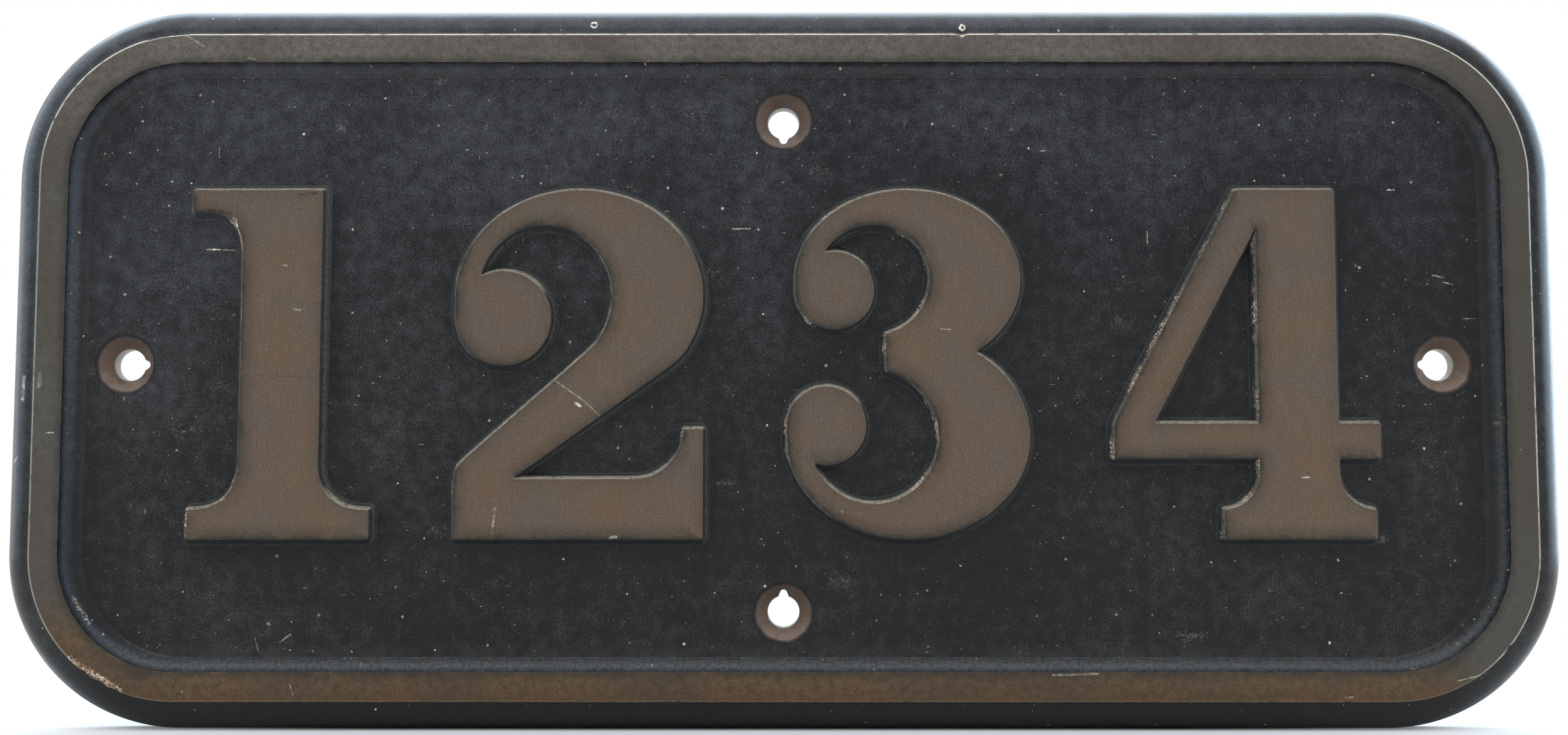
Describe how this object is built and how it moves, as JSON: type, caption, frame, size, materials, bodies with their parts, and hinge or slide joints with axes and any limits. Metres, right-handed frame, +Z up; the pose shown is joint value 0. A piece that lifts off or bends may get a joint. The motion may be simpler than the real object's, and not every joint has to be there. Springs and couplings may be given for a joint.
{
  "type": "locomotive number plate",
  "caption": "Rectangular cabside number plate with rounded corners: black iron backing plate, moulded brass border, raised brass numerals and countersunk fixing holes.",
  "frame": {"origin": "middle of the flat back face", "axes": "+X to the right of the front, +Z up, the numbered front faces -Y"},
  "size_m": [0.563, 0.016, 0.263],
  "materials": {
    "black_iron": "black paint over cast iron, worn and dusty, bare dull metal in the countersinks",
    "border_brass": "flat band bare and patinated brown, rounded outer side and cove painted black",
    "numeral_brass": "bare faces patinated brown, sloping walls painted black",
    "screw_brass": "dull aged brass"
  },
  "bodies": {
    "root": {"backing_plate": "black_iron", "border_moulding": "border_brass", "numeral_one": "numeral_brass", "numeral_two": "numeral_brass", "numeral_three": "numeral_brass", "numeral_four": "numeral_brass", "numeral_one_screws": "screw_brass", "numeral_two_screws": "screw_brass", "numeral_three_screws": "screw_brass", "numeral_four_screws": "screw_brass", "border_screws": "screw_brass"}
  },
  "joints": []
}
